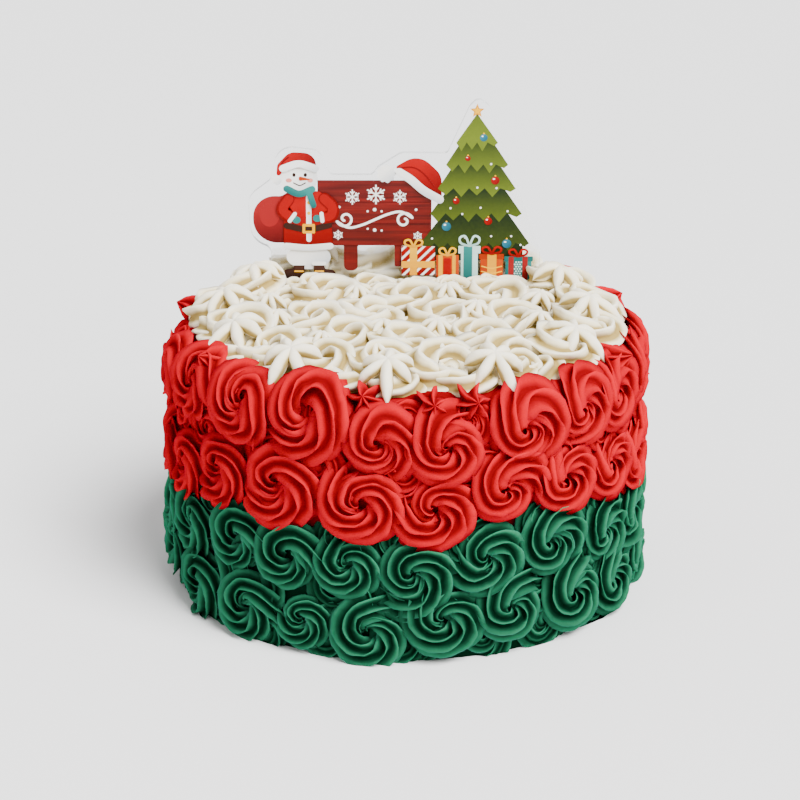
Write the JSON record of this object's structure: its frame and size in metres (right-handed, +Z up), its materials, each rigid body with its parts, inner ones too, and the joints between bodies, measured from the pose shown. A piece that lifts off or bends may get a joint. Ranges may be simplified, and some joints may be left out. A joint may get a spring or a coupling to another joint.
{
  "type": "christmas cake",
  "caption": "Round layered Christmas cake covered in piped buttercream roses in green, red and ivory, with a clear printed holiday topper standing in the top.",
  "frame": {"origin": "centre of the object's box, at the level of the flat base", "axes": "+Z up; -Y is the front, which the topper's print faces; +X is to the right seen from the front"},
  "size_m": [0.2195, 0.2185, 0.2059],
  "materials": {
    "green_buttercream": "soft satin piped buttercream, deep pine green, darker in the grooves",
    "red_buttercream": "soft satin piped buttercream, bright red, darker in the grooves",
    "white_buttercream": "soft satin piped buttercream, warm ivory",
    "clear_acrylic": "clear polished acrylic sheet",
    "plank_ink": "glossy ink printed on clear acrylic",
    "red_ink": "glossy ink printed on clear acrylic",
    "sack_ink": "glossy ink printed on clear acrylic",
    "fir_ink": "glossy ink printed on clear acrylic",
    "gold_ink": "glossy ink printed on clear acrylic",
    "snow_ink": "glossy ink printed on clear acrylic",
    "boot_ink": "glossy ink printed on clear acrylic",
    "orange_ink": "glossy ink printed on clear acrylic",
    "teal_ink": "glossy ink printed on clear acrylic"
  },
  "bodies": {
    "root": {"icing_green_band": "green_buttercream", "icing_red_band": "red_buttercream", "icing_white_top": "white_buttercream", "topper_plate": "clear_acrylic", "print_sign": "plank_ink", "print_coat": "red_ink", "print_hat": "red_ink", "print_cap": "red_ink", "print_gift_1": "red_ink", "print_sack": "sack_ink", "print_tree": "fir_ink", "print_star": "gold_ink", "print_snow_base": "snow_ink", "print_head": "snow_ink", "print_brim": "snow_ink", "print_bobble": "snow_ink", "print_boot_1": "boot_ink", "print_boot_2": "boot_ink", "print_gift_2": "orange_ink", "print_gift_4": "orange_ink", "print_gift_3": "teal_ink", "print_gift_5": "teal_ink"}
  },
  "joints": []
}
